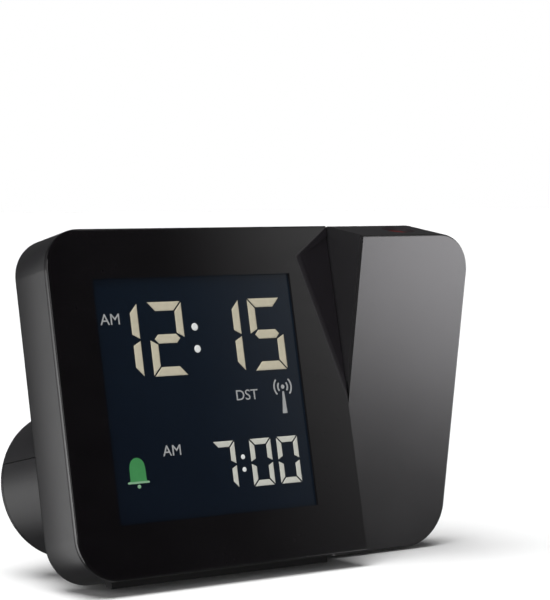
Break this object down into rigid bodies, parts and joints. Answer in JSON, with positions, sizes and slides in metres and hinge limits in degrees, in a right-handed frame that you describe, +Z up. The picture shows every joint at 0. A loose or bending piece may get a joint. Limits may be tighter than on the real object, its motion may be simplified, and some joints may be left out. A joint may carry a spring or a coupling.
{
  "type": "projection alarm clock",
  "caption": "Slim leaning desk alarm clock with a dark liquid crystal display, a round-ended battery housing behind and a swivelling projector arm beside the case.",
  "frame": {"origin": "centre of the bounding box at the table surface that the clock stands on", "axes": "+Z up, +X to the right as seen from the front and along the clock's width, -Y towards the viewer of the display"},
  "size_m": [0.1345, 0.0509, 0.0962],
  "materials": {
    "front_gloss": "polished black moulding",
    "window_pane": "smoked hard-coated acrylic pane",
    "lcd": "liquid crystal glass with black polariser",
    "white_plastic": "white moulding and sheet",
    "clear_plastic": "clear acrylic light guide",
    "strip": "layered elastomer connector",
    "board": "green lacquered circuit board",
    "chip": "moulded epoxy package",
    "switch_parts": "black switch moulding",
    "bright_metal": "nickel plated",
    "ferrite": "sintered ferrite",
    "copper": "enamelled copper winding",
    "brass": "thin brass sheet",
    "case_matte": "fine-textured satin black moulding",
    "cell": "printed battery sleeve; stands in for the cell's mean density",
    "foot_rubber": "matte black rubber",
    "key": "satin black moulding",
    "washer": "low-friction nylon",
    "arm_satin": "satin graphite lacquer on moulding",
    "hub_metal": "turned hub",
    "lead": "black wire sleeve",
    "lamp_red": "tinted light-emitting diode",
    "lens_glass": "clear moulded lens, lit red from inside"
  },
  "bodies": {
    "case": {"front_plate": "front_gloss", "display_window": "window_pane", "lcd_panel": "lcd", "diffuser_sheet": "white_plastic", "light_guide": "clear_plastic", "display_frame": "white_plastic", "contact_strips": "strip", "main_board": "board", "control_chip": "chip", "quartz_crystal": "bright_metal", "tact_switches": "switch_parts", "switch_base": "bright_metal", "ferrite_rod": "ferrite", "antenna_coil": "copper", "touch_plate": "brass", "buzzer": "switch_parts", "dc_inlet": "switch_parts", "rear_shell": "case_matte", "case_screws": "bright_metal", "board_screws": "bright_metal", "battery_cells": "cell", "contact_plates": "bright_metal", "contact_springs": "bright_metal", "foot_strip": "foot_rubber", "rear_pads": "foot_rubber", "friction_washer": "washer", "lead_tail": "lead"},
    "arm": {"arm_front": "arm_satin", "arm_rear": "case_matte", "swivel_hub": "hub_metal", "retaining_ring": "bright_metal", "projector_lead": "lead", "arm_board": "board", "arm_switches": "switch_parts", "lamp_board": "board", "lamp": "lamp_red", "lamp_housing": "white_plastic", "condenser_lens": "lens_glass", "projection_lcd": "lcd", "projector_tube": "switch_parts", "focus_axle": "bright_metal", "arm_screws": "bright_metal"},
    "barrel": {"lens_barrel": "switch_parts", "projector_lens": "lens_glass"},
    "wheel": {"focus_wheel": "key"},
    "cover": {"battery_cover": "case_matte"},
    "key_mode": {"key_mode": "key"},
    "key_alarm": {"key_alarm": "key"},
    "key_plus": {"key_plus": "key"},
    "key_minus": {"key_minus": "key"},
    "key_wave": {"key_wave": "key"},
    "alarm_slider": {"alarm_switch": "key"},
    "flip_button": {"flip_key": "key"},
    "power_slider": {"projector_switch": "key"}
  },
  "joints": [
    {"name": "projector_swivel", "type": "hinge", "parent": "case", "child": "arm", "pos_m": [0.02685, -0.00739, 0.04669], "axis": [1, 0, 0], "range_deg": [-98, 82]},
    {"name": "press_mode", "type": "slide", "parent": "case", "child": "key_mode", "axis": [0, -0.9781, 0.2079], "range_m": [0, 0.0006], "stiffness_N_per_m": 500, "springref_m": -0.0004},
    {"name": "press_alarm", "type": "slide", "parent": "case", "child": "key_alarm", "axis": [0, -0.9781, 0.2079], "range_m": [0, 0.0006], "stiffness_N_per_m": 500, "springref_m": -0.0004},
    {"name": "press_plus", "type": "slide", "parent": "case", "child": "key_plus", "axis": [0, -0.9781, 0.2079], "range_m": [0, 0.0006], "stiffness_N_per_m": 500, "springref_m": -0.0004},
    {"name": "press_minus", "type": "slide", "parent": "case", "child": "key_minus", "axis": [0, -0.9781, 0.2079], "range_m": [0, 0.0006], "stiffness_N_per_m": 500, "springref_m": -0.0004},
    {"name": "press_wave", "type": "slide", "parent": "case", "child": "key_wave", "axis": [0, -0.9781, 0.2079], "range_m": [0, 0.0006], "stiffness_N_per_m": 500, "springref_m": -0.0004},
    {"name": "alarm_switch_slide", "type": "slide", "parent": "case", "child": "alarm_slider", "axis": [1, 0, 0], "range_m": [0, 0.004]},
    {"name": "battery_cover_slide", "type": "slide", "parent": "case", "child": "cover", "axis": [0, 0.9781, -0.2079], "range_m": [0, 0.022]},
    {"name": "press_flip", "type": "slide", "parent": "arm", "child": "flip_button", "axis": [0, -0.9903, -0.1392], "range_m": [0, 0.0006], "stiffness_N_per_m": 500, "springref_m": -0.0004},
    {"name": "projector_switch_slide", "type": "slide", "parent": "arm", "child": "power_slider", "axis": [1, 0, 0], "range_m": [0, 0.004]},
    {"name": "focus_wheel_turn", "type": "hinge", "parent": "arm", "child": "wheel", "pos_m": [0.05985, -0.00791, 0.0762], "axis": [1, 0, 0], "range_deg": [-19.1, 19.1]},
    {"name": "focus_barrel_slide", "type": "slide", "parent": "arm", "child": "barrel", "axis": [0, -0.1392, 0.9903], "range_m": [-0.0012, 0.0012]}
  ],
  "couplings": [
    {"joint": "focus_wheel_turn", "follows": "focus_barrel_slide", "rad_per_m": -277.78}
  ]
}
